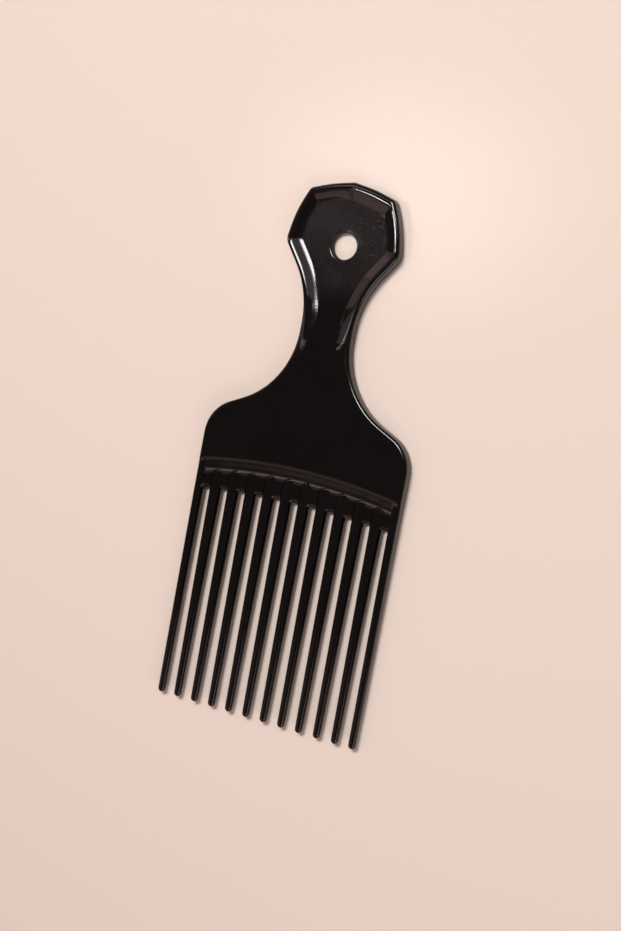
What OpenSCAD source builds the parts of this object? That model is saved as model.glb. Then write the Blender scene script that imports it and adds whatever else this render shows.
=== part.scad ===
/* [Overall] */
// Thickness of the moulding at its rim and across its shoulders
moulding_t = 4.4; // [3.6:0.1:5.4]
// Radius on the outer edges, front and back
edge_r = 1; // [0.6:0.1:1.4]

/* [Teeth] */
// Distance between the centre lines of neighbouring teeth
tooth_pitch = 6.3; // [6:0.1:7]
// Free length of the middle teeth, from the tip to the top of the slot
tooth_l = 69.7; // [55:0.1:80]
// Diameter of a round tooth at its root
tooth_root_d = 4; // [3.2:0.1:4.2]
// Diameter of a tooth just behind its rounded tip
tooth_tip_d = 2.4; // [1.8:0.1:2.8]
// Width of the two outer teeth at their roots
guard_root_w = 2.9; // [2.6:0.1:4]
// Radius of the shallow arch that the tops of the slots follow
slot_arch_r = 300; // [200:5:500]
// Radius in the corners at the top of a slot
slot_corner_r = 0.6; // [0.3:0.05:0.8]

/* [Root] */
// Thickness of the thin web that joins the roots of the teeth
web_t = 1.8; // [1.4:0.1:2.6]
// Length of the web, from the middle slots to the foot of the step
web_l = 7.3; // [6:0.1:10]
// Distance from the foot of the step to the round top of a tooth's ridge
ridge_gap = 0.4; // [0.2:0.1:1]
// Length of the sloping step between the web and the shoulders
step_run = 3.5; // [2:0.1:5]
// Radius of the arch that the step follows across the pick
step_arch_r = 194; // [150:2:260]

/* [Shoulders] */
// Length of the straight sides above the step, to the corner of the shoulder
shoulder_l = 12.4; // [11:0.1:16]
// Slope of the top of the shoulder, in degrees
shoulder_slope = 26; // [20:1:30]
// Radius of the shoulder's corner
shoulder_r = 12; // [8:0.5:14]

/* [Neck] */
// Length from the corner of the shoulder to the widest place of the head
neck_l = 56.5; // [50:0.5:65]
// Width of the neck at its narrowest
neck_w = 17.8; // [15:0.1:22]
// Radius of the hollow side between the neck and the shoulder
neck_low_r = 26.7; // [20:0.1:32]
// Radius of the hollow side between the neck and the head
neck_high_r = 30; // [22:0.5:36]

/* [Head] */
// Width between the side corners of the head, measured before rounding
head_w = 39; // [34:0.5:44]
// Length from the side corners to the top of the head
head_l = 20.6; // [18:0.1:24]
// Width between the top corners of the head, before rounding
crown_w = 28.8; // [25:0.1:32]
// Height of the top above the top corners
crown_h = 3.5; // [2.5:0.1:5]
// Slope of the head's lower sides, in degrees from the length of the pick
head_flare = 36; // [30:0.2:42]
// How far the upper sides of the head bow outwards
side_bow = 1.2; // [0.6:0.1:2]
// How far each half of the top bows outwards
crown_bow = 0.5; // [0.2:0.1:1]
// Radius of the side corners of the head
side_corner_r = 4.2; // [2.6:0.1:5]
// Radius of the top corners of the head
crown_corner_r = 2.4; // [2.2:0.1:4]

/* [Pan] */
// Depth of the shallow pan for the thumb
pan_depth = 1.3; // [0.8:0.1:1.8]
// Depth that the pan keeps along the neck
pan_neck_depth = 0.2; // [0.1:0.05:0.4]
// Length over which the pan's floor rises from the head into the neck
pan_ramp_l = 14.6; // [12:0.2:18]
// Width of the rim along the sides of the pan
rim_w = 1.4; // [1.2:0.1:2]
// Width of the rim at the top of the head
crown_rim_w = 2.1; // [1.6:0.1:3]
// Width of the sloping wall between the rim and the pan's floor
wall_run = 2.7; // [2:0.1:3.4]
// Radius in the corners of the pan
pan_corner_r = 3; // [1.5:0.1:4]
// Distance from the step to the lower end of the pan
pan_foot_gap = 4.5; // [3:0.1:8]
// Width of the pan at its lower end
pan_foot_w = 49.4; // [44:0.2:52]
// Width of the pan's floor at its lower end
floor_foot_w = 39.4; // [34:0.2:43]
// Length over which the pan widens towards its lower end
pan_splay_l = 30.6; // [26:0.2:34]
// Radius of the bend where the pan begins to widen
pan_bend_r = 34; // [24:1:36]

/* [Hang hole] */
// Diameter of the hole for hanging the pick
hole_d = 8.4; // [7:0.1:10]
// Distance from the top of the head to the centre of the hole
hole_drop = 19.6; // [17:0.1:23]
// Width of the small bevel round each mouth of the hole
hole_bevel = 0.4; // [0.2:0.05:0.6]

/* [Hidden] */
NODES = ["grip_plate", "grip_rim", "shoulder_plate", "root_step", "root_web",
    "tooth_01", "tooth_02", "tooth_03", "tooth_04", "tooth_05", "tooth_06",
    "tooth_07", "tooth_08", "tooth_09", "tooth_10", "tooth_11", "tooth_12"];
tooth_count = 12;
first_tooth = len(NODES) - tooth_count;
plastic = [0.07, 0.055, 0.055];
// One overrun serves every cut, and one sliver is the thinnest slice drawn
over = 1;
sliver = 0.01;
$fn = 96;

// Heights above the line of the tooth tips
foot_y = tooth_l + web_l;
step_y = foot_y + step_run;
shoulder_y = step_y + shoulder_l;
wide_y = shoulder_y + neck_l;
overall_l = wide_y + head_l;
crown_y = overall_l - crown_h;
hole_y = overall_l - hole_drop;
pan_foot_y = step_y + pan_foot_gap;
splay_y = pan_foot_y + pan_splay_l;

// Widths that follow from the teeth
rail_x = (tooth_count - 1) / 2 * tooth_pitch - tooth_root_d / 2;
body_w = 2 * (rail_x + guard_root_w);
slot_w = tooth_pitch - tooth_root_d;
guard_corner_r = min(edge_r, guard_root_w / 2, tooth_root_d / 2);

// Levels above the back face
plate_t = moulding_t - pan_depth;
mid_z = moulding_t / 2;
step_foot_r = step_arch_r - step_run;
step_centre_y = step_y - step_arch_r;
cut_h = moulding_t + 2 * over;

function arch_drop(radius, x) = radius - sqrt(radius * radius - x * x);
function slot_top(x) = tooth_l - arch_drop(slot_arch_r, x);
function foot_at(x) = foot_y - arch_drop(step_foot_r, x);
function tooth_x(index) = (index - (tooth_count + 1) / 2) * tooth_pitch;

// The free teeth end, and the web begins, just under the lowest slot
slot_count = tooth_count - 1;
outer_slot_x = (slot_count - 1) / 2 * tooth_pitch;
root_y = slot_top(outer_slot_x) - slot_corner_r;

// Plane geometry for outlines given as corners with radii
function unit(v) = v / norm(v);
function left_of(v) = [-v[1], v[0]];
function cross_z(a, b) = a[0] * b[1] - a[1] * b[0];
function bowed(a, b, share, bow) = a + (b - a) * share + left_of(unit(b - a)) * bow;

// The tangent length that a corner's radius takes from each side
function corner_turn(a, b, c) = acos(max(-1, min(1, unit(b - a) * unit(c - b))));
function reach(a, b, c, r) = r * tan(corner_turn(a, b, c) / 2);
function reach_at(p, r, i) = i <= 0 || i >= len(p) - 1 ? 0 : reach(p[i - 1], p[i], p[i + 1], r[i]);

// A radius is limited where its sides are too short for it
fit_share = 0.98;
function side_fit(p, r, i) = fit_share * norm(p[i + 1] - p[i])
    / max(reach_at(p, r, i) + reach_at(p, r, i + 1), sliver);
function fitted_r(p, r, i) = r[i] * min(1, side_fit(p, r, i - 1), side_fit(p, r, i));

// Points along one rounded corner
function corner_points(a, b, c, r, steps) =
    let (turn = corner_turn(a, b, c),
        side = sign(cross_z(b - a, c - b)),
        start = b - unit(b - a) * reach(a, b, c, r),
        centre = start + left_of(unit(b - a)) * side * r)
    [for (k = [0 : steps])
        let (angle = side * turn * k / steps, arm = start - centre)
        centre + [arm[0] * cos(angle) - arm[1] * sin(angle),
            arm[0] * sin(angle) + arm[1] * cos(angle)]];

// Half an outline, with its first and last corners left sharp
function half_path(p, r, steps) = [
    p[0],
    for (i = [1 : len(p) - 2])
        each corner_points(p[i - 1], p[i], p[i + 1], fitted_r(p, r, i), steps[i]),
    p[len(p) - 1]];

// Where two sides of an outline meet after each has moved inwards
function inset_corner(a, b, c, before, after) =
    let (u = unit(b - a), v = unit(c - b),
        p = b - left_of(u) * before,
        q = b - left_of(v) * after)
    p + u * (cross_z(q - p, v) / cross_z(u, v));

// Corners of the right half of the pick, from the top down to the root of the outer tooth
bow_share = 0.48;
top = [0, overall_l];
crown_corner = [crown_w / 2, crown_y];
side_corner = [head_w / 2, wide_y];
neck_high = [neck_w / 2, wide_y - (head_w - neck_w) / 2 / tan(head_flare)];
neck_low = [neck_w / 2, shoulder_y + (body_w - neck_w) / 2 * tan(shoulder_slope)];
shoulder = [body_w / 2, shoulder_y];
outline_corners = [top, bowed(top, crown_corner, bow_share, crown_bow), crown_corner,
    bowed(crown_corner, side_corner, bow_share, side_bow), side_corner,
    neck_high, neck_low, shoulder, [body_w / 2, root_y]];
bow_r = 2 * head_l;
outline_radii = [0, bow_r, crown_corner_r, bow_r, side_corner_r,
    neck_high_r, neck_low_r, shoulder_r, 0];
outline_steps = [0, 3, 5, 3, 5, 7, 10, 9, 0];
outline = half_path(outline_corners, outline_radii, outline_steps);

// Corners of the pan, at its rim or its floor, from the head's own corners moved inwards
function pan_corner(i, before, after) =
    inset_corner(outline_corners[i - 1], outline_corners[i], outline_corners[i + 1], before, after);
function pan_corners(crown_inset, side_inset, foot_w) = [
    [0, overall_l - crown_inset],
    pan_corner(1, crown_inset, crown_inset),
    pan_corner(2, crown_inset, side_inset),
    pan_corner(3, side_inset, side_inset),
    pan_corner(4, side_inset, side_inset),
    pan_corner(5, side_inset, side_inset),
    [neck_w / 2 - side_inset, splay_y],
    [foot_w / 2, pan_foot_y]];
pan_steps = [0, 3, 5, 3, 5, 7, 6, 0];
function pan_radii(inset) = [0,
    bow_r - inset, max(crown_corner_r - inset, pan_corner_r),
    bow_r - inset, max(side_corner_r - inset, pan_corner_r),
    neck_high_r + inset, pan_bend_r + inset, 0];
pan_rim = half_path(pan_corners(crown_rim_w, rim_w, pan_foot_w), pan_radii(rim_w), pan_steps);
pan_floor = half_path(pan_corners(crown_rim_w + wall_run, rim_w + wall_run, floor_foot_w),
    pan_radii(rim_w + wall_run), pan_steps);

// The grip ends in the bend between head and neck, where the pan's floor begins to rise
pan_last = len(pan_floor) - 1;
bend_end = pan_last - 2 - pan_steps[6];
ramp_y = pan_floor[bend_end - 3][1];
splay_end_y = pan_floor[pan_last - 1][1];

// Outward shift of each outline point, for the rounded edges
function path_normal(path, i) =
    let (n = len(path), before = path[max(i - 1, 0)], after = path[min(i + 1, n - 1)])
    i == 0 ? [0, 1] : left_of(unit(after - before));
function moved_in(path, inset) = [for (i = [0 : len(path) - 1])
    i == 0 ? [path[i][0], path[i][1] - inset] : path[i] - path_normal(path, i) * inset];

// A closed solid through rings of equal point count, each [half path, heights of its points]
function ring_points(half, heights) =
    let (n = len(half))
    [for (i = [0 : n - 1]) [half[i][0], half[i][1], heights[i]],
        for (i = [n - 1 : -1 : 1]) [-half[i][0], half[i][1], heights[i]]];
function cap_faces(half_n, first, upper) =
    let (n = 2 * half_n - 1)
    [for (i = [0 : half_n - 2])
        let (right = first + i, next = first + i + 1,
            left = first + (n - i) % n, left_next = first + n - i - 1,
            face = i == 0 ? [right, next, left_next] : [right, next, left_next, left])
        upper ? face : [for (k = [len(face) - 1 : -1 : 0]) face[k]]];
function wall_faces(n, lower, upper) = [for (i = [0 : n - 1])
    let (j = (i + 1) % n)
    each [[lower + i, lower + j, upper + j], [lower + i, upper + j, upper + i]]];
module ring_solid(rings) {
    half_n = len(rings[0][0]);
    n = 2 * half_n - 1;
    last = len(rings) - 1;
    polyhedron(
        points = [for (ring = rings) each ring_points(ring[0], ring[1])],
        faces = [each cap_faces(half_n, 0, false),
            for (k = [0 : last - 1]) each wall_faces(n, k * n, (k + 1) * n),
            each cap_faces(half_n, last * n, true)]);
}
function level(path, z) = [for (p = path) z];
function edge_ring(z, inset) = [moved_in(outline, inset), level(outline, z)];

// The rounded edges take one step at 45 degrees
bevel = edge_r * (1 - cos(45));
back_rings = [edge_ring(0, edge_r), edge_ring(bevel, bevel), edge_ring(edge_r, 0)];
front_rings = [edge_ring(moulding_t - edge_r, 0), edge_ring(moulding_t - bevel, bevel),
    edge_ring(moulding_t, edge_r)];

// Level of the pan's floor: deep in the head, then a ramp, then a faint hollow down the neck
function risen_share(y) = min(1, max(0, (ramp_y - y) / pan_ramp_l));
function floor_level(y) = plate_t + (pan_depth - pan_neck_depth) * risen_share(y);

// The space of the pan, with its floor carried down by depth where a cut goes right through
function past_foot(path, run) = concat(path, [path[len(path) - 1] - [0, run]]);
module pan_space(depth) {
    past = moulding_t + over * pan_neck_depth / (splay_end_y - pan_foot_y);
    floor_path = past_foot(pan_floor, over);
    rim_path = past_foot(pan_rim, 2 * over);
    floor_ring = [floor_path, [for (i = [0 : pan_last + 1])
        i < pan_last ? floor_level(pan_floor[i][1]) : i == pan_last ? moulding_t : past]];
    rim_ring = [rim_path, concat(level(pan_rim, moulding_t), past)];
    open_ring = [rim_path, level(rim_path, moulding_t + 2 * over)];
    deep_ring = [floor_path, level(floor_path, plate_t - depth)];
    ring_solid(depth > 0 ? [deep_ring, floor_ring, rim_ring, open_ring]
        : [floor_ring, rim_ring, open_ring]);
}

// Half spaces above and below a line across the pick
module above(y) translate([-body_w, y, -over]) cube([2 * body_w, overall_l, cut_h]);
module below(y) above(y - overall_l);

// The disc whose edge is an arch across the pick
module arch_disc(r) translate([0, step_centre_y, -over]) cylinder(h = cut_h, r = r, $fn = 360);

module hang_hole() translate([0, hole_y, 0]) {
    r = hole_d / 2;
    mouth_h = over + hole_bevel;
    translate([0, 0, -over]) cylinder(h = plate_t + 2 * over, r = r);
    translate([0, 0, -over]) cylinder(h = mouth_h, r1 = r + mouth_h, r2 = r);
    translate([0, 0, plate_t - hole_bevel]) cylinder(h = mouth_h, r1 = r, r2 = r + mouth_h);
}

module grip_plate() color(plastic) difference() {
    ring_solid(concat(back_rings, [edge_ring(plate_t, 0)]));
    below(ramp_y);
    hang_hole();
}

module grip_rim() color(plastic) difference() {
    ring_solid(concat([edge_ring(plate_t, 0)], front_rings));
    below(ramp_y);
    pan_space(over);
}

module shoulder_plate() color(plastic) difference() {
    ring_solid(concat(back_rings, front_rings));
    above(ramp_y);
    arch_disc(step_arch_r);
    pan_space(0);
}

module root_step() color(plastic) intersection() {
    translate([0, step_centre_y, 0]) rotate_extrude($fn = 360) polygon([
        [step_foot_r, mid_z - web_t / 2], [step_arch_r, 0],
        [step_arch_r, moulding_t], [step_foot_r, mid_z + web_t / 2]]);
    translate([-rail_x, root_y, -over]) cube([2 * rail_x, overall_l, cut_h]);
}

// Section of an outer tooth at its root, with its outer side on the side of the pick
module guard_section() translate([rail_x, mid_z - tooth_root_d / 2]) {
    r = guard_corner_r;
    translate([0, r]) square([guard_root_w, tooth_root_d - 2 * r]);
    translate([r, 0]) square([guard_root_w - 2 * r, tooth_root_d]);
    for (x = [r, guard_root_w - r], z = [r, tooth_root_d - r]) translate([x, z]) circle(r = r);
}

// Stands a section in X and Z along the pick, from one height to another
module along(from_y, to_y)
    translate([0, to_y, 0]) rotate([90, 0, 0]) linear_extrude(to_y - from_y) children();
module guard_rail() intersection() {
    along(root_y, step_y) guard_section();
    arch_disc(step_arch_r);
}

// A round tooth's upper end, which stands out of the web as a ridge
module ridge(x) {
    top_y = foot_at(x) - ridge_gap - tooth_root_d / 2;
    translate([x, root_y, mid_z]) rotate([-90, 0, 0]) cylinder(h = top_y - root_y, d = tooth_root_d);
    translate([x, top_y, mid_z]) sphere(d = tooth_root_d);
}
module slot(x) translate([x, 0, mid_z - web_t]) linear_extrude(2 * web_t) {
    y = slot_top(x);
    corner_x = slot_w / 2 - slot_corner_r;
    translate([-slot_w / 2, root_y - over]) square([slot_w, y - slot_corner_r - root_y + over]);
    translate([-corner_x, root_y - over]) square([2 * corner_x, y - root_y + over]);
    for (side = [-1, 1]) translate([side * corner_x, y - slot_corner_r]) circle(r = slot_corner_r);
}

module root_web() color(plastic) {
    difference() {
        intersection() {
            translate([-rail_x, root_y, mid_z - web_t / 2]) cube([2 * rail_x, foot_y - root_y, web_t]);
            arch_disc(step_foot_r);
        }
        for (i = [1 : slot_count]) slot((tooth_x(i) + tooth_x(i + 1)) / 2);
    }
    for (i = [2 : tooth_count - 1]) ridge(tooth_x(i));
    guard_rail();
    mirror([1, 0, 0]) guard_rail();
}

module round_tooth(x) color(plastic) translate([x, 0, mid_z]) {
    r = tooth_tip_d / 2;
    translate([0, r, 0]) sphere(r = r);
    translate([0, r, 0]) rotate([-90, 0, 0]) cylinder(h = root_y - r, d1 = tooth_tip_d, d2 = tooth_root_d);
}
module guard_tooth() color(plastic) hull() {
    r = tooth_tip_d / 2;
    translate([body_w / 2 - r, r, mid_z]) sphere(r = r, $fn = 32);
    along(root_y - sliver, root_y) guard_section($fn = 32);
}
module tooth(index) {
    if (index == 1) mirror([1, 0, 0]) guard_tooth();
    else if (index == tooth_count) guard_tooth();
    else round_tooth(tooth_x(index));
}

// The pick lies on its back, with its middle over the origin
module placed() translate([0, -overall_l / 2, 0]) children();
placed() grip_plate();
placed() grip_rim();
placed() shoulder_plate();
placed() root_step();
placed() root_web();
for (i = [1 : tooth_count])
    placed() tooth(i);
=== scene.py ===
"""The look of a one-piece plastic hair pick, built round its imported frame.

Shapes are worked out in millimetres along the frame's own axes, and meshes are made in metres.
The moulding is a slab over a flat outline. One triangulation of that outline serves the front and
the back, its points are lifted to their heights by formula, and the slab is parted into zones.
"""

import math

import bpy
import numpy as np
from mathutils import Matrix, Vector
from mathutils.geometry import delaunay_2d_cdt


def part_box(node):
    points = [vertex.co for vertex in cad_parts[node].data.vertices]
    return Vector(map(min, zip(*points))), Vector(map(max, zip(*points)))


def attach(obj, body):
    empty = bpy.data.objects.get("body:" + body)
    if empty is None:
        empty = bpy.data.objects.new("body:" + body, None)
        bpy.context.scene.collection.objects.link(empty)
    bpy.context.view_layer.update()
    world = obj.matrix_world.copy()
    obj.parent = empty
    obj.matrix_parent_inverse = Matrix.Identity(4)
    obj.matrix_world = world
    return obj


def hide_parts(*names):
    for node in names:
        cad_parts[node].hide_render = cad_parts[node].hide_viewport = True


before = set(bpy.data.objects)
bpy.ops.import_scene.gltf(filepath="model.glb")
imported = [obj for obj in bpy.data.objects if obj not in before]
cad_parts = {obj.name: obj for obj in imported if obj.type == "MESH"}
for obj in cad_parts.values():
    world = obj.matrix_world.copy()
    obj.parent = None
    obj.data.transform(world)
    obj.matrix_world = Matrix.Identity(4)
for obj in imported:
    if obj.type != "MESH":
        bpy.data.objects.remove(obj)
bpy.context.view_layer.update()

MM = 0.001
BODY = "root"
TOOTH_COUNT = 12
TEETH = [f"tooth_{i:02d}" for i in range(1, TOOTH_COUNT + 1)]


def box_mm(node):
    """Lowest and highest corner of a CAD node, in millimetres."""
    low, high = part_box(node)
    return np.array(low) / MM, np.array(high) / MM


# Sizes read from the frame
THICK = box_mm("grip_rim")[1][2]
MID_Z = THICK / 2
HALF_W = box_mm(TEETH[-1])[1][0]
TOP_Y = box_mm("grip_rim")[1][1]
TIP_Y = box_mm(TEETH[0])[0][1]
ROOT_Y = box_mm(TEETH[5])[1][1]
RAMP_Y = box_mm("grip_plate")[0][1]
STEP_Y = box_mm("root_step")[1][1]
RAIL_X = box_mm("root_step")[1][0]
TOOTH_X = [float(box_mm(name)[0][0] + box_mm(name)[1][0]) / 2 for name in TEETH]
ROOT_R = float(box_mm(TEETH[5])[1][0] - box_mm(TEETH[5])[0][0]) / 2
PITCH = TOOTH_X[6] - TOOTH_X[5]

# The outline
EDGE_R = 1.0
SHOULDER_Y = STEP_Y + 12.4
SHOULDER_SLOPE = math.radians(26)
SHOULDER_R = 12.0
WIDE_Y = SHOULDER_Y + 56.5
NECK_W = 17.8
NECK_LOW_R = 26.7
NECK_HIGH_R = 30.0
HEAD_W = 39.0
HEAD_FLARE = math.radians(36)
SIDE_BOW = 1.2
SIDE_CORNER_R = 4.2
CROWN_W = 28.8
CROWN_H = 3.5
CROWN_BOW = 0.5
CROWN_CORNER_R = 2.4
BOW_SHARE = 0.48
BOW_R = 41.2

# The pan, its rim and its wall
PAN_DEPTH = 1.6
RIM_W = 1.4
CROWN_RIM_W = 2.1
WALL_RUN = 3.4
CROWN_DOME = 0.3
CROWN_DOME_L = 10.0
RIM_CORNER_R = 4.0
FLOOR_CORNER_R = 3.0
PAN_FOOT_Y = STEP_Y + 4.5
PAN_FOOT_W = 49.4
FLOOR_FOOT_W = 39.4
SPLAY_Y = PAN_FOOT_Y + 30.6
PAN_BEND_R = 34.0
RIM_SOFT_SHARE = 0.16
LEFT_EASE_SHARE = 0.5
RIGHT_EASE_SHARE = 0.001
EASE_CHANGE_L = 6.0
FLOOR_EASE_SLOPE = 0.3
RAMP_L = 14.6
SHALLOW_DEPTH = 0.2
PAN_FADE_L = 22.7
RAMP_SOFT_SHARE = 0.2

# The hanging hole
HOLE_R = 4.2
HOLE_Y = TOP_Y - 19.6
HOLE_EDGE_R = 0.7

# The step, the web and the tops of the slots
STEP_R = 194.0
STEP_CUT = 3.5
STEP_FOOT = 4.4
LIP_W = 0.85
LIP_DROP = 0.12
LIP_R = 0.5
FOOT_R = 9.0
WEB_T = 1.8
DOME_GAP = 3.9
FILLET = 0.3
RIDGE_END_R = 0.4
RIDGE_END_DROP = 1.2
GUARD_W = HALF_W - RAIL_X
GUARD_POWER = 2.6
SLOT_ARCH_R = 300.0
SLOT_CORNER_R = 0.6
SLOT_TOP_Y = TIP_Y + 69.7
SLOT_HALF_W = PITCH / 2 - ROOT_R
TIP_R = 1.2

# How finely curves are drawn, and measured from
LONG_STEP = 1.5
TURN_STEP = math.radians(6)
FINE_LONG_STEP = 0.4
FINE_TURN_STEP = math.radians(1.5)
SLOT_TURN_STEP = math.radians(15)
PROFILE_TURN_STEP = math.radians(3)
SLOPE_STEP = 0.02
EDGE_NEAR = 0.01
EDGE_NEAR_STEPS = 3
STEEP = 1.2
WALL_CLEAR_SHARES = (-0.4, 1.3)
TINY = 1e-12
EDGE_TURNS = np.radians([0, 14, 28, 42, 56, 72, 90])
ROUND_TURNS = np.radians(np.arange(-90, 91, 10))
SECTION_TURNS = np.radians(np.arange(-90, 270, 10))
DOME_TURNS = np.radians(np.arange(0, 181, 12))
HOLE_SIDES = 72
ARCH_POINTS = 96
SLOT_COLUMN_SHARES = np.array([-0.96, -0.8, -0.55, -0.2, 0.2, 0.55, 0.8, 0.96])
RIDGE_FOOT_SHARES = np.array([0.3, 0.8])
FILL_STEP = 2.4
ROOT_STEP = 0.7
WELD = 0.001
CHUNK = 2000


def unit(v):
    return v / np.linalg.norm(v)


def left_of(v):
    return np.array([-v[1], v[0]])


def cross(a, b):
    return a[0] * b[1] - a[1] * b[0]


def bowed(a, b, bow):
    """A point near the middle of the side from a to b, moved outwards by bow."""
    return a + (b - a) * BOW_SHARE + left_of(unit(b - a)) * bow


def divided(points, long_step):
    """The same path with its long sides divided."""
    out = [points[0]]
    for a, b in zip(points, points[1:]):
        parts = max(1, math.ceil(np.linalg.norm(b - a) / long_step - WELD))
        out += [a + (b - a) * k / parts for k in range(1, parts + 1)]
    return np.array(out)


def rounded(corners, radii, long_step=LONG_STEP, turn_step=TURN_STEP):
    """Points along a path whose corners are rounded, closer together round its bends."""
    corners = [np.array(c, float) for c in corners]
    points = [corners[0]]
    for i in range(1, len(corners) - 1):
        a, b, c = corners[i - 1:i + 2]
        before, after = unit(b - a), unit(c - b)
        turn = math.acos(max(-1.0, min(1.0, float(before @ after))))
        side = math.copysign(1.0, cross(before, after))
        start = b - before * radii[i] * math.tan(turn / 2)
        centre = start + left_of(before) * side * radii[i]
        arm = start - centre
        steps = max(2, math.ceil(max(turn / turn_step, turn * radii[i] / long_step)))
        for angle in np.linspace(0, side * turn, steps + 1):
            c_a, s_a = math.cos(angle), math.sin(angle)
            points.append(centre + [arm[0] * c_a - arm[1] * s_a, arm[0] * s_a + arm[1] * c_a])
    points.append(corners[-1])
    return divided(points, long_step)


def mirrored(half):
    """A whole path, from its left end over the middle to its right end, from its right half."""
    return np.concatenate([(half * [-1, 1])[:0:-1], half])


def inset_corner(a, b, c, before, after):
    """Where the sides a-b and b-c meet after each has moved inwards."""
    u, v = unit(b - a), unit(c - b)
    p, q = b - left_of(u) * before, b - left_of(v) * after
    return p + u * (cross(q - p, v) / cross(u, v))


def shifted(path, inset):
    """A half path moved inwards, its first point kept on the middle line."""
    along = np.gradient(path, axis=0)
    along[0], along[-1] = path[1] - path[0], path[-1] - path[-2]
    along /= np.linalg.norm(along, axis=1)[:, None]
    moved = path - np.stack([-along[:, 1], along[:, 0]], 1) * inset
    moved[0] = [0, path[0][1] - inset / along[0][0]]
    return moved


def distance(points, path):
    """Distance from each point to a path."""
    start, span = path[:-1], path[1:] - path[:-1]
    length2 = (span ** 2).sum(1)
    out = np.empty(len(points))
    for k in range(0, len(points), CHUNK):
        arm = points[k:k + CHUNK, None, :] - start
        share = np.clip((arm * span).sum(2) / length2, 0, 1)
        out[k:k + CHUNK] = np.sqrt(((arm - share[..., None] * span) ** 2).sum(2).min(1))
    return out


def inside(points, loop):
    """Whether each point lies inside a closed loop."""
    a, b = loop, np.roll(loop, -1, 0)
    rise = np.where(b[:, 1] == a[:, 1], 1, b[:, 1] - a[:, 1])
    out = np.empty(len(points), bool)
    for k in range(0, len(points), CHUNK):
        x, y = points[k:k + CHUNK, 0, None], points[k:k + CHUNK, 1, None]
        crossed = (a[:, 1] > y) != (b[:, 1] > y)
        at = a[:, 0] + (y - a[:, 1]) * (b[:, 0] - a[:, 0]) / rise
        out[k:k + CHUNK] = (crossed & (x < at)).sum(1) % 2 == 1
    return out


def depth_in(points, path, loop):
    """Distance to a path, positive inside the loop that it bounds."""
    return np.where(inside(points, loop), 1, -1) * distance(points, path)


# Corners of the right half, from the top of the head down to the root of the outer tooth
TOP = np.array([0.0, TOP_Y])
CROWN_CORNER = np.array([CROWN_W / 2, TOP_Y - CROWN_H])
SIDE_CORNER = np.array([HEAD_W / 2, WIDE_Y])
NECK_HIGH = np.array([NECK_W / 2, WIDE_Y - (HEAD_W - NECK_W) / 2 / math.tan(HEAD_FLARE)])
NECK_LOW = np.array([NECK_W / 2, SHOULDER_Y + (HALF_W - NECK_W / 2) * math.tan(SHOULDER_SLOPE)])
OUTLINE_CORNERS = [TOP, bowed(TOP, CROWN_CORNER, CROWN_BOW), CROWN_CORNER,
                   bowed(CROWN_CORNER, SIDE_CORNER, SIDE_BOW), SIDE_CORNER, NECK_HIGH, NECK_LOW,
                   np.array([HALF_W, SHOULDER_Y]), np.array([HALF_W, ROOT_Y])]
OUTLINE = rounded(OUTLINE_CORNERS, [0, BOW_R, CROWN_CORNER_R, BOW_R, SIDE_CORNER_R,
                                    NECK_HIGH_R, NECK_LOW_R, SHOULDER_R, 0])


def pan_ring(share, long_step=LONG_STEP, turn_step=TURN_STEP):
    """Half of the pan's rim at share 0, or of its floor's edge at share 1, from the top down."""
    crown, side = CROWN_RIM_W + share * WALL_RUN, RIM_W + share * WALL_RUN
    insets = [(crown, crown), (crown, side)] + 3 * [(side, side)]
    corners = [np.array([0, TOP_Y - crown])]
    for i, (before, after) in enumerate(insets, start=1):
        corners.append(inset_corner(*OUTLINE_CORNERS[i - 1:i + 2], before, after))
    foot_w = PAN_FOOT_W + share * (FLOOR_FOOT_W - PAN_FOOT_W)
    corners += [np.array([NECK_W / 2 - side, SPLAY_Y]), np.array([foot_w / 2, PAN_FOOT_Y])]
    corner_r = RIM_CORNER_R + share * (FLOOR_CORNER_R - RIM_CORNER_R)
    radii = [0, BOW_R - side, corner_r, BOW_R - side, corner_r, NECK_HIGH_R + side, PAN_BEND_R + side, 0]
    return rounded(corners, radii, long_step, turn_step)


def closed_below(half):
    """The loop that a half path bounds when its ends run straight down past the step."""
    return mirrored(np.concatenate([half, [[half[-1][0], ROOT_Y]]]))


RIM_PATH, FLOOR_PATH = (pan_ring(share, FINE_LONG_STEP, FINE_TURN_STEP) for share in (0, 1))


def soft_ramp(t, start_soft, end_soft):
    """From 0 to 1 as t goes from 0 to 1, with both its corners rounded."""
    low = np.clip(t + start_soft, 0, 2 * start_soft) ** 2 / (4 * start_soft)
    high = np.clip(1 + end_soft - t, 0, 2 * end_soft) ** 2 / (4 * end_soft)
    middle = np.where(t < start_soft, low, t)
    return np.where(t > 1 - end_soft, 1 - high, middle)


def blend_max(a, b, width):
    """The higher of two surfaces, with a fillet where they cross."""
    return np.maximum(a, b) + np.maximum(width - np.abs(a - b), 0) ** 2 / (4 * width)


def edge_drop(depth, radius):
    """How far a rounded edge falls below its flat, at a depth inside the edge."""
    reach = np.clip(radius - depth, 0, radius)
    return radius - np.sqrt(radius ** 2 - reach ** 2)


def wall_share(points):
    """0 on the pan's rim and 1 on the edge of its floor, steady across its wall."""
    rim = depth_in(points, mirrored(RIM_PATH), closed_below(RIM_PATH))
    floor = depth_in(points, mirrored(FLOOR_PATH), closed_below(FLOOR_PATH))
    return rim / np.maximum(rim - floor, WELD)


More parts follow.
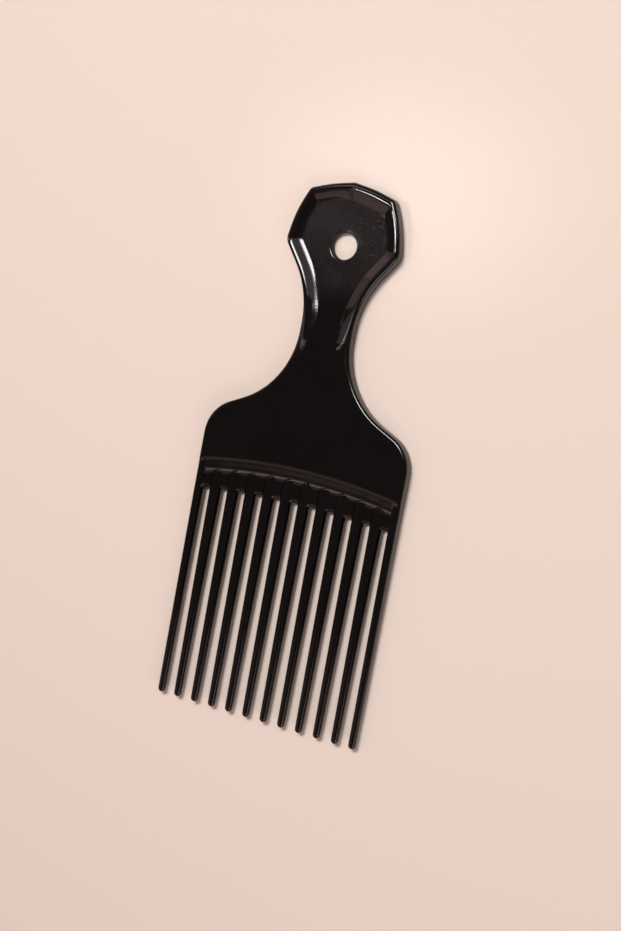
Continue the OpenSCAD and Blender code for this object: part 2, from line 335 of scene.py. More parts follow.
def wall_fall(share, xs):
    """From 0 on the rim to 1 on the floor: rounded at the rim, and eased at the foot on the left."""
    soft = RIM_SOFT_SHARE
    ease = np.interp(xs, [-EASE_CHANGE_L, 0.0], [LEFT_EASE_SHARE, RIGHT_EASE_SHARE])
    low = np.clip(share + soft, 0, 2 * soft) ** 2 / (4 * soft)
    eased = share - np.clip(share - 1 + ease, 0, ease) ** 2 * (1 - FLOOR_EASE_SLOPE) / (2 * ease)
    whole = 1 - ease * (1 - FLOOR_EASE_SLOPE) / 2
    return np.clip(np.where(share < soft, low, eased) / whole, 0, 1)


def floor_depth(ys):
    """Depth of the pan's floor: deep in the head, then a ramp, then a faint hollow that fades out."""
    rise = soft_ramp((ys - RAMP_Y) / RAMP_L + 1, RAMP_SOFT_SHARE, RAMP_SOFT_SHARE)
    fade = np.clip((ys - PAN_FOOT_Y) / PAN_FADE_L, 0, 1)
    return (SHALLOW_DEPTH + (PAN_DEPTH - SHALLOW_DEPTH) * rise) * fade


def pan_dip(points):
    """How deep the pan is at each point."""
    dip = np.zeros(len(points))
    near = points[:, 1] > PAN_FOOT_Y
    dip[near] = floor_depth(points[near, 1]) * wall_fall(wall_share(points[near]), points[near, 0])
    return dip


# Half thickness across the step, by the distance outwards from its upper edge
STEP_END = 12.0
STEP_PROFILE = rounded([(-STEP_END, WEB_T / 2), (-STEP_FOOT, WEB_T / 2),
                        (-LIP_W, THICK / 2 - LIP_DROP), (0, THICK / 2), (STEP_END, THICK / 2)],
                       [0, FOOT_R, LIP_R, LIP_R, 0], turn_step=PROFILE_TURN_STEP)


def arch_offset(points):
    """How far each point lies above the step's upper edge."""
    return np.hypot(points[:, 0], points[:, 1] - STEP_Y + STEP_R) - STEP_R


def arch(offset, xs):
    """Points at an offset from the step's upper edge, at the given widths."""
    r = STEP_R + offset
    return np.stack([xs, STEP_Y - STEP_R + np.sqrt(r * r - xs * xs)], 1)


def slot_top(x):
    return SLOT_TOP_Y - SLOT_ARCH_R + math.sqrt(SLOT_ARCH_R ** 2 - x * x)


def slot_path(x):
    """The edge of one slot, from its right foot over its top to its left foot."""
    left, right, top = x - SLOT_HALF_W, x + SLOT_HALF_W, slot_top(x)
    return rounded([(right, ROOT_Y), (right, top), (left, top), (left, ROOT_Y)],
                   [0, SLOT_CORNER_R, SLOT_CORNER_R, 0], FINE_LONG_STEP, SLOT_TURN_STEP)


ROUND_TEETH_X = TOOTH_X[1:-1]
GAP_X = [(a + b) / 2 for a, b in zip([-RAIL_X - ROOT_R] + ROUND_TEETH_X, ROUND_TEETH_X + [RAIL_X + ROOT_R])]


def dome_y(x):
    """Height of the centre of the round top that a tooth's ridge has."""
    return arch(-DOME_GAP, np.array([x]))[0][1] - ROOT_R


def web_height(points):
    """Half thickness of the plate, the step and the web, rounded off at the slots."""
    height = np.interp(arch_offset(points), STEP_PROFILE[:, 0], STEP_PROFILE[:, 1])
    near = points[:, 1] < SLOT_TOP_Y + WEB_T
    depth = np.full(len(points), WEB_T)
    for x in GAP_X:
        depth[near] = np.minimum(depth[near], distance(points[near], slot_path(x)))
    half = WEB_T / 2
    mouth = half - edge_drop(depth, half) - FILLET * np.clip(1 - depth / FILLET, 0, 1)
    return np.where(depth < half, np.minimum(height, mouth), height)


def ridge_height(points):
    """Half thickness of the ridges that the round teeth make on the web."""
    height = np.zeros(len(points))
    for x in ROUND_TEETH_X:
        across, past = points[:, 0] - x, points[:, 1] - dome_y(x)
        round_off = np.clip(np.hypot(across, past) - ROOT_R + RIDGE_END_R, 0, 2 * RIDGE_END_R) / RIDGE_END_R
        ended = np.clip(past / RIDGE_END_R, 0, 1) * RIDGE_END_DROP * round_off ** 2
        height = np.maximum(height, np.sqrt(np.maximum(ROOT_R ** 2 - across ** 2, 0)) - ended)
    return height


def guard_height(from_rail):
    """Half thickness of an outer tooth's root, by the distance from its inner side."""
    share = np.clip(from_rail / (GUARD_W / 2), 0, 1)
    return ROOT_R * (1 - (1 - share) ** GUARD_POWER) ** (1 / GUARD_POWER)


def half_thickness(points):
    """Half thickness of the moulding without its pan, at each point."""
    height = blend_max(web_height(points), ridge_height(points), FILLET)
    guard = np.where(arch_offset(points) < 0, guard_height(np.abs(points[:, 0]) - RAIL_X), 0)
    height = np.where(guard > 0, np.minimum(blend_max(height, guard, FILLET), THICK / 2), height)
    depth = distance(points, mirrored(OUTLINE))
    near_crown = np.clip((points[:, 1] - TOP_Y) / CROWN_DOME_L + 1, 0, 1)
    domed = CROWN_DOME * near_crown * np.clip(1 - depth / CROWN_RIM_W, 0, 1) ** 2
    from_hole = np.hypot(points[:, 0], points[:, 1] - HOLE_Y) - HOLE_R
    return height - domed - edge_drop(depth, EDGE_R) - edge_drop(from_hole, HOLE_EDGE_R)


class Sketch:
    """Lines and loose points in the plane, to be triangulated together."""

    def __init__(self):
        self.points, self.edges = [], []

    def line(self, path, closed=False):
        first, count = len(self.points), len(path)
        self.points += [Vector(p) for p in path]
        self.edges += [(first + i, first + (i + 1) % count) for i in range(count - (not closed))]

    def dots(self, points):
        self.points += [Vector(p) for p in points]

    def triangles(self):
        flat, _, faces, *_ = delaunay_2d_cdt(self.points, self.edges, [], 0, WELD)
        return np.array([p[:] for p in flat], float), np.array(faces)


EDGE_INSETS = EDGE_R * (1 - np.cos(EDGE_TURNS))
HOLE_INSETS = HOLE_EDGE_R * (1 - np.cos(EDGE_TURNS))
RIDGE_COLUMNS = ROOT_R * np.sin(ROUND_TURNS)
GUARD_COLUMNS = RAIL_X + GUARD_W / 2 * (1 - np.cos(EDGE_TURNS))
WALL_SHARES = np.concatenate([RIM_SOFT_SHARE * np.linspace(-1, 1, 9), [0.4, 0.6, 0.7, 0.8, 0.9, 0.96, 1.0]])


def foot_line():
    """The moulding's lower edge from the right corner to the left, round each slot."""
    outer = HALF_W - EDGE_INSETS
    parts = [np.stack([np.concatenate([outer, GUARD_COLUMNS[:0:-1]]),
                       np.full(len(outer) + len(GUARD_COLUMNS) - 1, ROOT_Y)], 1)]
    for x, tooth in zip(GAP_X[::-1], TOOTH_X[-2:0:-1] + [None]):
        parts.append(slot_path(x))
        if tooth is not None:
            columns = tooth - RIDGE_COLUMNS[1:-1]
            parts.append(np.stack([columns, np.full(len(columns), ROOT_Y)], 1))
    parts.append(parts[0][::-1] * [-1, 1])
    return np.concatenate(parts)


def ridge_dots(x):
    """Points over one ridge and its round top, close together where it meets the web."""
    centre_y = dome_y(x)
    rows = np.arange(ROOT_Y + ROOT_STEP, centre_y, ROOT_STEP)
    straight = [(x + c, y) for c in RIDGE_COLUMNS[1:-1] for y in rows]
    radii = np.concatenate([RIDGE_COLUMNS[RIDGE_COLUMNS > WELD], ROOT_R + FILLET * RIDGE_FOOT_SHARES])
    dome = [(x + r * math.cos(a), centre_y + r * math.sin(a)) for r in radii for a in DOME_TURNS]
    return straight + dome + [(x, centre_y)]


def gap_dots(x):
    """Points on the web above one slot."""
    top, half = slot_top(x), WEB_T / 2
    columns = x + SLOT_HALF_W * SLOT_COLUMN_SHARES
    mouth = top + half * (1 - np.cos(EDGE_TURNS[1:]))
    upper = np.arange(mouth[-1] + ROOT_STEP / 2, arch(-STEP_FOOT, columns[:1])[0][1], ROOT_STEP / 2)
    return [(c, y) for c in columns for y in np.concatenate([mouth, upper])]


def guard_dots():
    """Points over the roots of the two outer teeth."""
    rows = np.arange(ROOT_Y + ROOT_STEP, STEP_Y, ROOT_STEP)
    return [(side * c, y) for side in (-1, 1) for c in GUARD_COLUMNS for y in rows]


def fill_dots():
    """A loose grid over the wide flat areas."""
    xs = np.arange(-HALF_W, HALF_W, FILL_STEP)
    ys = np.arange(STEP_Y, TOP_Y, FILL_STEP * math.sqrt(3) / 2)
    grid = np.array([(x + (row % 2) * FILL_STEP / 2, y) for row, y in enumerate(ys) for x in xs])
    outer = mirrored(OUTLINE)
    share = wall_share(grid)
    on_wall = (share > WALL_CLEAR_SHARES[0]) & (share < WALL_CLEAR_SHARES[1]) & (grid[:, 1] > PAN_FOOT_Y)
    from_hole = np.hypot(grid[:, 0], grid[:, 1] - HOLE_Y) - HOLE_R
    clear = (distance(grid, outer) > 2 * EDGE_R) & (arch_offset(grid) > LIP_W) & (from_hole > EDGE_R)
    return grid[clear & inside(grid, outer) & ~on_wall]


def hole_ring(radius):
    turns = np.linspace(0, 2 * math.pi, HOLE_SIDES, endpoint=False)
    return np.stack([radius * np.cos(turns), HOLE_Y + radius * np.sin(turns)], 1)


def moulding_sketch():
    """Every line that a height follows, with points between them."""
    sketch = Sketch()
    border = np.concatenate([mirrored(OUTLINE)[:-1], foot_line()])
    sketch.line(border[:-1], closed=True)
    for inset in EDGE_INSETS[1:]:
        sketch.line(mirrored(shifted(OUTLINE, inset)))
    for inset in HOLE_INSETS:
        sketch.line(hole_ring(HOLE_R + inset), closed=True)
    for share in WALL_SHARES:
        sketch.line(mirrored(pan_ring(share)))
    widths = np.linspace(-HALF_W, HALF_W, ARCH_POINTS)
    for offset in np.append(STEP_PROFILE[1:-1, 0], -STEP_CUT):
        sketch.line(arch(offset, widths))
    sketch.line([(-HALF_W, RAMP_Y), (HALF_W, RAMP_Y)])
    for side in (-1, 1):
        sketch.line([(side * RAIL_X, SLOT_TOP_Y), (side * RAIL_X, arch(0, np.array([RAIL_X]))[0][1])])
    for x in ROUND_TEETH_X:
        sketch.dots(ridge_dots(x))
    for x in GAP_X:
        sketch.dots(gap_dots(x))
    sketch.dots(guard_dots())
    sketch.dots(fill_dots())
    return sketch, border


def kept_triangles():
    """The flat points, and the triangles that lie in the moulding, each turned the same way."""
    sketch, border = moulding_sketch()
    flat, faces = sketch.triangles()
    a, b, c = (flat[faces[:, k]] for k in range(3))
    turned = (b - a)[:, 0] * (c - a)[:, 1] - (b - a)[:, 1] * (c - a)[:, 0] < 0
    faces[turned] = faces[turned][:, ::-1]
    middle = (a + b + c) / 3
    in_hole = np.hypot(middle[:, 0], middle[:, 1] - HOLE_Y) < HOLE_R
    keep = inside(middle, border) & ~in_hole
    return flat, faces[keep], middle[keep]


GRIP, SHOULDERS, STEP, WEB = range(4)
ZONES = {GRIP: ("moulded_grip", ["grip_plate", "grip_rim"]),
         SHOULDERS: ("moulded_shoulders", ["shoulder_plate"]),
         STEP: ("moulded_step", ["root_step"]),
         WEB: ("moulded_web", ["root_web"])}


def zone_of(middle):
    """Which zone each triangle belongs to."""
    offset = arch_offset(middle)
    zone = np.where(offset > 0, SHOULDERS, WEB)
    zone[(offset < 0) & (offset > -STEP_CUT) & (np.abs(middle[:, 0]) < RAIL_X)] = STEP
    zone[middle[:, 1] > RAMP_Y] = GRIP
    return zone


def corner_normals(points, faces, cut):
    """A normal for each corner: smooth by area, but a face's own normal where it is a cut."""
    across = np.cross(points[faces[:, 1]] - points[faces[:, 0]], points[faces[:, 2]] - points[faces[:, 0]])
    smooth = np.zeros_like(points)
    for k in range(3):
        np.add.at(smooth, faces[~cut, k], across[~cut])
    corners = smooth[faces]
    corners[cut] = across[cut][:, None, :]
    return corners / np.maximum(np.linalg.norm(corners, axis=2), TINY)[:, :, None]


def wall(a, b, back):
    """Triangles from the front edge a-b down to the back, none where front and back meet."""
    pair = [(b, a, back[a]), (b, back[a], back[b])]
    return [face for face in pair if len(set(face)) == 3]


def front_height(flat):
    return half_thickness(flat) - pan_dip(flat)


def back_height(flat):
    return -half_thickness(flat)


def slope_normals(height, flat):
    """Normals of a height function, and where it is gentle enough for them to be used."""
    slope = [height(flat + step) - height(flat - step)
             for step in (np.array([SLOPE_STEP, 0]), np.array([0, SLOPE_STEP]))]
    normals = np.column_stack([-slope[0], -slope[1], np.full(len(flat), 2 * SLOPE_STEP)])
    steepness = np.hypot(slope[0], slope[1]) / (2 * SLOPE_STEP)
    from_hole = np.hypot(flat[:, 0], flat[:, 1] - HOLE_Y) - HOLE_R
    clear = (distance(flat, mirrored(OUTLINE)) > EDGE_R / 2) & (from_hole > HOLE_EDGE_R)
    clear &= (flat[:, 1] > ROOT_Y + SLOPE_STEP)
    return normals / np.linalg.norm(normals, axis=1)[:, None], clear & (steepness < STEEP)


def sharpen_floor_edge(flat, front, normals):
    """Gives each triangle at the edge of the pan's floor the slope of its own side of that edge."""
    near = np.flatnonzero(flat[:, 1] > PAN_FOOT_Y + SLOPE_STEP)
    on_edge = np.zeros(len(flat), bool)
    on_edge[near[np.abs(wall_share(flat[near]) - 1) * WALL_RUN < EDGE_NEAR]] = True
    face, corner = np.nonzero(on_edge[front])
    at = flat[front[face, corner]]
    inwards = flat[front[face]].mean(1) - at
    at = at + inwards * (EDGE_NEAR / np.linalg.norm(inwards, axis=1))[:, None] * EDGE_NEAR_STEPS
    normals[face, corner] = slope_normals(front_height, at)[0]


def moulding():
    """Points, triangles, their zones, and a normal for each triangle's corners, flat at the cuts between
    pieces.
    """
    flat, front, middle = kept_triangles()
    zone = zone_of(middle)
    half = np.maximum(half_thickness(flat), 0)
    top, low = MID_Z + half - pan_dip(flat), MID_Z - half
    joined = half < WELD
    back = np.where(joined, np.arange(len(flat)), len(flat) + np.arange(len(flat)))
    points = np.concatenate([np.column_stack([flat, top]), np.column_stack([flat, low])])
    faces = [tuple(f) for f in front] + [tuple(f) for f in back[front[:, ::-1]]]
    zones, cuts = list(zone) * 2, [False] * len(faces)
    owner = {(int(f[k]), int(f[(k + 1) % 3])): i for i, f in enumerate(front) for k in range(3)}
    for (a, b), i in owner.items():
        other = owner.get((b, a))
        if other is not None and zone[other] == zone[i]:
            continue
        at_foot = max(flat[a][1], flat[b][1]) < ROOT_Y + WELD
        for face in wall(a, b, back):
            faces.append(face)
            zones.append(zone[i])
            cuts.append(other is not None or at_foot)
    front_normals, front_gentle = slope_normals(front_height, flat)
    back_normals, back_gentle = slope_normals(back_height, flat)
    known = np.concatenate([front_normals, back_normals * [1, 1, -1]])
    gentle = np.concatenate([front_gentle & ~joined, back_gentle & ~joined])
    faces, cuts = np.array(faces), np.array(cuts)
    normals = corner_normals(points, faces, cuts)
    use = gentle[faces] & ~cuts[:, None]
    normals[use] = known[faces[use]]
    sharpen_floor_edge(flat, front, normals)
    return points, faces, np.array(zones), normals


def add_piece(name, points, faces, normals, replaced):
    """A piece of the shown object, made from points in millimetres."""
    used, faces_here = np.unique(faces, return_inverse=True)
    mesh = bpy.data.meshes.new(name)
    mesh.from_pydata((points[used] * MM).tolist(), [], faces_here.reshape(faces.shape).tolist())
    mesh.shade_smooth()
    mesh.normals_split_custom_set(normals.reshape(-1, 3).tolist())
    piece = bpy.data.objects.new(name, mesh)
    bpy.context.scene.collection.objects.link(piece)
    piece.data.materials.append(PLASTIC)
    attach(piece, BODY)
    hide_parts(*replaced)
    return piece


def add_moulding():
    points, faces, zones, normals = moulding()
    for zone, (name, replaced) in ZONES.items():
        own = zones == zone
        add_piece(name, points, faces[own], normals[own], replaced)


def loft(rings, pole):
    """Triangles over a stack of rings, with a flat lid on the first and a pole past the last."""
    count = len(rings[0])
    points = np.concatenate(rings + [rings[0].mean(0)[None], pole[None]])
    lid, tip = len(points) - 2, len(points) - 1
    faces, cuts = [], []
    for k in range(count):
        step = (k + 1) % count
        faces.append((lid, k, step))
        cuts.append(True)
        for ring in range(len(rings) - 1):
            a, b = ring * count + k, ring * count + step
            faces += [(b, a, a + count), (b, a + count, b + count)]
            cuts += [False, False]
        last = (len(rings) - 1) * count
        faces.append((last + step, last + k, tip))
        cuts.append(False)
    return points, np.array(faces), np.array(cuts)


# Distances along a tooth from its root, and the turns of its round tip
SHAFT_SHARES = np.linspace(0, 1, 25)
TIP_TURNS = np.radians([15, 30, 45, 60, 75])
GUARD_TIP_LAG_SHARE = 0.12
GUARD_TIP_TURN_SHARE = 0.86


def tooth_rings(section, tip_x):
    """Rings down a tooth from section(share), then round its tip."""
    length = ROOT_Y - TIP_Y - TIP_R
    rings = []
    for share in SHAFT_SHARES:
        across = section(share)
        rings.append(np.column_stack([across[:, 0], np.full(len(across), ROOT_Y - share * length),
                                      MID_Z + across[:, 1]]))
    end = section(1) - [tip_x, 0]
    for turn in TIP_TURNS:
        across = end * math.cos(turn) + [tip_x, 0]
        y = TIP_Y + TIP_R * (1 - math.sin(turn))
        rings.append(np.column_stack([across[:, 0], np.full(len(across), y), MID_Z + across[:, 1]]))
    return rings, np.array([tip_x, TIP_Y, MID_Z])


def round_section(x):
    ring = np.column_stack([np.sin(SECTION_TURNS), np.cos(SECTION_TURNS)])
    return lambda share: [x, 0] + ring * (ROOT_R + share * (TIP_R - ROOT_R))


def guard_section():
    """Sections of the right outer tooth: straight along its outer side, and round at its tip."""
    inner_turn, outer_turn = EDGE_TURNS, EDGE_TURNS[-2::-1]
    x = np.concatenate([GUARD_COLUMNS, HALF_W - EDGE_R * (1 - np.cos(outer_turn))])
    z = guard_height(x - RAIL_X) - edge_drop(HALF_W - x, EDGE_R)
    outer_angle = math.pi - GUARD_TIP_LAG_SHARE * math.pi / 2 - outer_turn * GUARD_TIP_TURN_SHARE
    angle = np.concatenate([inner_turn, outer_angle])
    tip_x = HALF_W - TIP_R
    round_x, round_z = tip_x - TIP_R * np.cos(angle), TIP_R * np.sin(angle)
    root = np.column_stack([np.append(x, x[:0:-1]), np.append(z, -z[:0:-1])])
    end = np.column_stack([np.append(round_x, round_x[:0:-1]), np.append(round_z, -round_z[:0:-1])])
    return (lambda share: root + share * (end - root)), tip_x


def add_tooth(number, rings, pole):
    points, faces, cuts = loft(rings, pole)
    name = TEETH[number]
    add_piece("moulded_" + name, points, faces, corner_normals(points, faces, cuts), [name])


def add_teeth():
    for number in range(1, TOOTH_COUNT - 1):
        x = TOOTH_X[number]
        add_tooth(number, *tooth_rings(round_section(x), x))
    section, tip_x = guard_section()
    rings, pole = tooth_rings(section, tip_x)
    add_tooth(TOOTH_COUNT - 1, rings, pole)
    flipped = [(ring * [-1, 1, 1])[::-1] for ring in rings]
    add_tooth(0, flipped, pole * [-1, 1, 1])


class Shader:
    """A material's nodes, added and wired one after another."""

    def __init__(self, name):
        self.material = bpy.data.materials.new(name)
        self.material.use_nodes = True
        self.tree = self.material.node_tree
        self.surface = self.tree.nodes["Principled BSDF"]

    def wire(self, target, value):
        if isinstance(value, bpy.types.NodeSocket):
            self.tree.links.new(value, target)
        else:
            target.default_value = value

    def add(self, kind, inputs, output=0, **settings):
        """A new node's output, once its settings and inputs are in place."""
        made = self.tree.nodes.new("ShaderNode" + kind)
        for key, value in settings.items():
            setattr(made, key, value)
        for key, value in inputs.items():
            self.wire(made.inputs[key], value)
        return made.outputs[output]

    def coordinates(self):
        return self.add("TexCoord", {}, output="Object")

    def noise(self, vector, scale, detail=3.0, roughness=0.55):
        return self.add("TexNoise", {"Vector": vector, "Scale": scale, "Detail": detail,
                                     "Roughness": roughness})

    def ranged(self, value, low, high, to_low, to_high):
        return self.add("MapRange", {"Value": value, "From Min": low, "From Max": high,
                                     "To Min": to_low, "To Max": to_high})

    def math(self, operation, a, b):
        return self.add("Math", {0: a, 1: b}, operation=operation)

    def stretched(self, vector, scales):
        return self.add("Mapping", {"Vector": vector, "Scale": scales})

    def blend(self, share, a, b):
        return self.add("Mix", {"Factor": share, 6: a, 7: b}, output=2, data_type="RGBA")


# Colours of the plastic, each pair from its darkest cloud to its palest
BLACKS = ((0.0018, 0.0009, 0.00095, 1), (0.003, 0.0016, 0.0017, 1))
# The pan floor's greys are partly dust and partly a painted warm sheen, paler and pinker than the bare black
PAN_GREYS_AND_SHEEN = ((0.006, 0.0034, 0.0036, 1), (0.0115, 0.0066, 0.007, 1))
SPECK_COLOUR = (0.07, 0.058, 0.055, 1)

# Scales of its textures per metre, and the part of each noise that is used
CLOUD_SCALE = 90.0
GREY_SCALE = 420.0
SPECK_SCALE = 1500.0
GRAIN_SCALE = 1400.0
RIPPLE_SCALE = 260.0
STREAK_SCALES = (900.0, 60.0, 900.0)
NOISE_SPAN = (0.3, 0.7)
STREAK_SPAN = (0.5, 0.8)

# Where its worn and rough places, and the painted warm sheen on the pan's floor, begin and end, in
# millimetres
DUST_AND_SHEEN_SPAN = (SPLAY_Y + 2, HOLE_Y + 6)
ON_FLOOR_SPAN = (THICK - PAN_DEPTH + 0.25, THICK - PAN_DEPTH + 0.02)
BORE_SPAN = (HOLE_R + 0.25, HOLE_R + 0.1)
SPECKED_SPAN = (-12.0, 14.0)

# The dots' size and number, its roughness, and the strength of its fine relief
SPECK_SIZE_SPAN = (0.3, 0.12)
SPECK_KEPT_SPAN = (0.45, 0.75)
FEWEST_SPECKS_SHARE = 0.2
GLOSS_ROUGHNESS = (0.05, 0.09)
HANDLED_ROUGHNESS = 0.07
BORE_ROUGHNESS = 0.55
STREAK_ROUGHNESS = 0.02
GRAIN_SHARE = 0.4
BUMP_STRENGTH = 0.12
BUMP_HEIGHT = 0.00012
IOR = 1.49


def in_metres(span):
    return [end * MM for end in span]


def specks(s, at, dust_and_sheen):
    """How much of a pale dot shows: dots at random on the worn floor of the pan, more of them on the right.
    """
    cells = {"Vector": at, "Scale": SPECK_SCALE}
    grains = s.ranged(s.add("TexVoronoi", cells, output="Distance"), *SPECK_SIZE_SPAN, 0.0, 1.0)
    kept = s.ranged(s.add("TexVoronoi", cells, output="Color"), *SPECK_KEPT_SPAN, 0.0, 1.0)
    x = s.add("SeparateXYZ", {"Vector": at}, output="X")
    rightward = s.ranged(x, *in_metres(SPECKED_SPAN), FEWEST_SPECKS_SHARE, 1.0)
    return s.math("MULTIPLY", grains, s.math("MULTIPLY", kept, s.math("MULTIPLY", dust_and_sheen, rightward)))


def plastic():
    """Near-black glossy plastic: on the pan's floor greyer, partly from dust and partly a painted warm
    sheen, and duller and specked there; dull in the bore.
    """
    s = Shader("black_plastic")
    at = s.coordinates()
    y = s.add("SeparateXYZ", {"Vector": at}, output="Y")
    z = s.add("SeparateXYZ", {"Vector": at}, output="Z")
    in_head = s.ranged(y, *in_metres(DUST_AND_SHEEN_SPAN), 0.0, 1.0)
    on_floor = s.ranged(z, *in_metres(ON_FLOOR_SPAN), 0.0, 1.0)
    # The pan's floor in the head: where dust, dull gloss and specks go, and a painted warm sheen in its
    # colour
    dust_and_sheen = s.math("MULTIPLY", in_head, on_floor)
    cloud = s.noise(at, CLOUD_SCALE)
    base = s.blend(s.ranged(cloud, *NOISE_SPAN, 0.0, 1.0), *BLACKS)
    # Painted warm sheen: paler pinkish greys on the pan's floor stand partly for dust and partly for the
    # sheen of light on it
    floor_grey_and_sheen = s.blend(s.ranged(s.noise(at, GREY_SCALE), *NOISE_SPAN, 0.0, 1.0), *PAN_GREYS_AND_SHEEN)
    tone = s.blend(dust_and_sheen, base, floor_grey_and_sheen)
    s.wire(s.surface.inputs["Base Color"], s.blend(specks(s, at, dust_and_sheen), tone, SPECK_COLOUR))
    dull = s.ranged(dust_and_sheen, 0.0, 1.0, 0.0, HANDLED_ROUGHNESS)
    from_axis = s.add("VectorMath", {0: s.stretched(at, (1.0, 1.0, 0.0)), 1: (0.0, HOLE_Y * MM, 0.0)},
                      output="Value", operation="DISTANCE")
    bore = s.ranged(from_axis, *in_metres(BORE_SPAN), 0.0, BORE_ROUGHNESS)
    streaks = s.noise(s.stretched(at, STREAK_SCALES), 1.0)
    rough = s.math("ADD", dull, s.ranged(cloud, *NOISE_SPAN, *GLOSS_ROUGHNESS))
    rough = s.math("ADD", s.math("ADD", rough, bore), s.ranged(streaks, *STREAK_SPAN, 0.0, STREAK_ROUGHNESS))
    s.wire(s.surface.inputs["Roughness"], rough)
    s.surface.inputs["IOR"].default_value = IOR
    grain = s.math("MULTIPLY", s.noise(at, GRAIN_SCALE), GRAIN_SHARE)
    fine = s.math("ADD", grain, s.noise(at, RIPPLE_SCALE, detail=1.0))
    bump = {"Strength": BUMP_STRENGTH, "Distance": BUMP_HEIGHT, "Height": fine}
    normal = s.add("Bump", bump, output="Normal")
    s.wire(s.surface.inputs["Normal"], normal)
    return s.material


PLASTIC = plastic()

# The studio: lamps stand on a sphere of one metre round the target, each with its radiance
TARGET = Vector((0.0, 0.0, MID_Z * MM))
FLOOR_SIZE = 6.0
FLOOR_Z = -0.00005
FLOOR_COLOUR = (0.84, 0.715, 0.625, 1)
FLOOR_ROUGHNESS = 0.9
HEAD_AIM = Vector((0.014, 0.084, 0.0))
CROWN_AIM = Vector((0.0, 0.09, 0.0))
RIM_AIM = Vector((-0.01, 0.084, 0.0))
BEAM = 0.042
RIM_BEAM = 0.05
CROWN_BEAM = 0.09
STRIP_RADIANCE = 60.0
WORLD_COLOUR = (0.12, 0.102, 0.1, 1)
WHITE = (1, 1, 1)
BROWN = (1.0, 0.7, 0.62)

# The camera: its lens in millimetres, its place in metres and its axes
LENS = 69.6
SENSOR_W = 36.0
CLIP_START = 0.01
CAMERA_RIGHT = Vector((0.88114, 0.18795, -0.43389))
CAMERA_UP = Vector((-0.20435, 0.97886, 0.00901))
NUDGE_RIGHT = 0.00028
NUDGE_UP = 0.00008
FITTED_PLACE = Vector((0.24022636, 0.04197198, 0.50465262))
CAMERA_PLACE = FITTED_PLACE + CAMERA_RIGHT * NUDGE_RIGHT + CAMERA_UP * NUDGE_UP


def add_floor():
    mesh = bpy.data.meshes.new("studio_floor")
    half = FLOOR_SIZE / 2
    corners = [(x * half, y * half, FLOOR_Z) for x, y in ((-1, -1), (1, -1), (1, 1), (-1, 1))]
    mesh.from_pydata(corners, [], [(0, 1, 2, 3)])
    floor = bpy.data.objects.new("studio_floor", mesh)
    bpy.context.scene.collection.objects.link(floor)
    s = Shader("studio_floor")
    s.wire(s.surface.inputs["Base Color"], FLOOR_COLOUR)
    s.wire(s.surface.inputs["Roughness"], FLOOR_ROUGHNESS)
    s.surface.inputs["Specular IOR Level"].default_value = 0.0
    mesh.materials.append(s.material)


def area_light(name, start, end, width, radiance, colour, aim=Vector(), beam=None):
    """A strip light a metre from the pick and facing it, with a grid where it has a narrow beam."""
    start, end = Vector(start), Vector(end)
    middle, along = (start + end) / 2, end - start
    light = bpy.data.lights.new(name, "AREA")
    light.shape = "RECTANGLE"
    light.size, light.size_y = along.length, width
    light.energy = radiance * math.pi * along.length * width
    if beam:
        light.spread = 2 * beam
        light.energy *= 1 - beam / math.tan(beam)
    light.color = colour
    facing = (middle - aim).normalized()
    side = (along - facing * along.dot(facing)).normalized()
    turned = Matrix((side, facing.cross(side), facing)).transposed().to_4x4()
    lamp = bpy.data.objects.new(name, light)
    lamp.matrix_world = Matrix.Translation(TARGET + middle) @ turned
    lamp.visible_camera = False
    bpy.context.scene.collection.objects.link(lamp)


def head_strip(name, start, end, parts, width):
    """A row of small gridded lamps that light the head alone."""
    start, end = Vector(start), Vector(end)
    for k in range(parts):
        ends = (start.lerp(end, k / parts), start.lerp(end, (k + 1) / parts))
        area_light(f"{name}_{k}", *ends, width, STRIP_RADIANCE, WHITE, HEAD_AIM, BEAM)


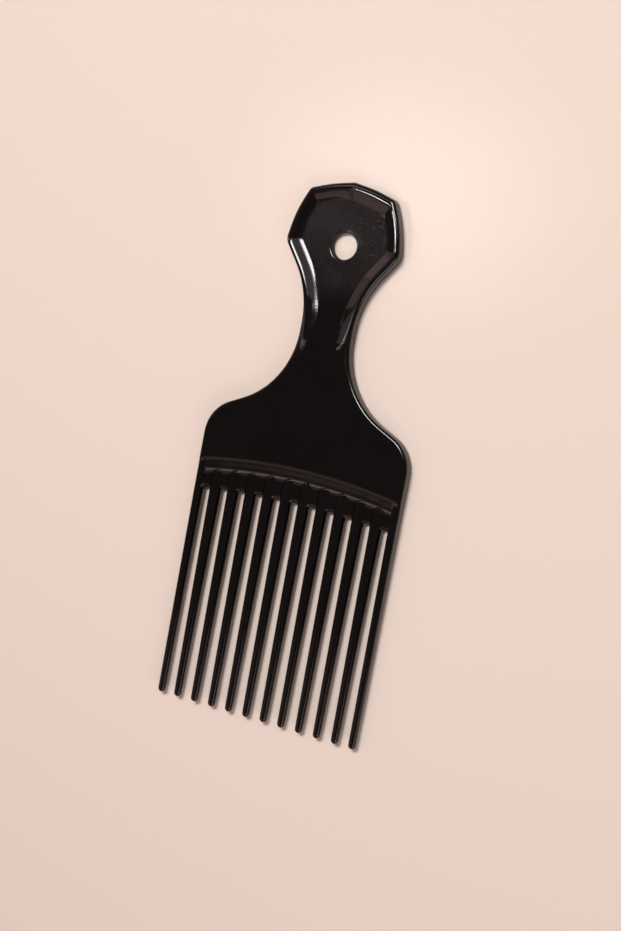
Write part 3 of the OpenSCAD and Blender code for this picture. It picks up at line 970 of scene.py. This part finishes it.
def add_lights():
    """The main softbox, the strips for the bright lines, then dim panels for the walls and rims."""
    area_light("softbox_above", (-0.24, 0.36, 0.9), (0.14, 0.4, 0.91), 0.22, 25.0, WHITE)
    area_light("softbox_halo", (0.14, 0.4, 0.9), (0.26, 0.44, 0.86), 0.34, 3.0, (1, 0.86, 0.9))
    area_light("fill_right", (0.4, -0.6, 0.69), (0.88, -0.38, 0.28), 0.34, 3.0, (1, 0.84, 0.84))
    head_strip("strip_crown", (-0.46, 0.02, 0.89), (-0.498, -0.125, 0.86), 5, 0.06)
    head_strip("strip_side", (-0.53, 0.08, 0.84), (-0.74, 0.04, 0.67), 6, 0.035)
    area_light("softbox_fringe", (0.1, 0.48, 0.87), (0.44, 0.5, 0.75), 0.4, 0.8, (1, 0.9, 0.88))
    area_light("strip_low", (-0.38, -0.44, 0.82), (-0.5, -0.43, 0.75), 0.08, 2.0, (1, 0.75, 0.72))
    area_light("soft_rim", (-0.38, 0.07, 0.92), (-0.2, 0.07, 0.98), 0.16, 3.0, (1, 0.75, 0.74),
               RIM_AIM, RIM_BEAM)
    area_light("soft_crown", (-0.54, 0.41, 0.75), (-0.26, 0.41, 0.88), 0.18, 2.4, (1, 0.72, 0.72))
    area_light("peach_side", (-0.83, 0.52, 0.2), (-0.9, 0.36, 0.24), 0.2, 1.2, (1.0, 0.6, 0.62))
    area_light("peach_back", (-0.9, 0.36, 0.24), (-0.96, 0.13, 0.25), 0.2, 0.65, (1.0, 0.62, 0.64))
    area_light("peach_high", (-0.72, 0.42, 0.55), (-0.84, 0.2, 0.5), 0.2, 0.5, (1.0, 0.8, 0.85))
    area_light("peach_neck", (-0.93, 0.1, 0.36), (-0.6, 0.07, 0.8), 0.13, 0.6, (1.0, 0.66, 0.68))
    area_light("brown_low", (-0.43, -0.24, 0.87), (-0.43, -0.53, 0.73), 0.3, 0.45, (1.0, 0.66, 0.62))
    area_light("brown_crown", (-0.08, -0.68, 0.72), (-0.43, -0.69, 0.58), 0.18, 0.9, BROWN)
    area_light("brown_middle", (-0.3, -0.62, 0.72), (-0.56, -0.56, 0.6), 0.14, 0.9, BROWN,
               CROWN_AIM, CROWN_BEAM)
    area_light("brown_right", (-0.5, -0.6, 0.62), (-0.85, -0.34, 0.4), 0.28, 1.0, (1.0, 0.66, 0.6))
    world = bpy.data.worlds.new("studio")
    world.use_nodes = True
    world.node_tree.nodes["Background"].inputs["Color"].default_value = WORLD_COLOUR
    bpy.context.scene.world = world


def add_camera():
    """The photograph's camera, as recovered from the teeth."""
    camera = bpy.data.cameras.new("photo_camera")
    camera.lens = LENS
    camera.sensor_width = SENSOR_W
    camera.clip_start = CLIP_START
    eye = bpy.data.objects.new("photo_camera", camera)
    turned = Matrix((CAMERA_RIGHT, CAMERA_UP, CAMERA_RIGHT.cross(CAMERA_UP))).transposed().to_4x4()
    eye.matrix_world = Matrix.Translation(CAMERA_PLACE) @ turned
    bpy.context.scene.collection.objects.link(eye)
    bpy.context.scene.camera = eye


add_moulding()
add_teeth()
add_floor()
add_lights()
add_camera()
bpy.context.scene.view_settings.view_transform = "Standard"
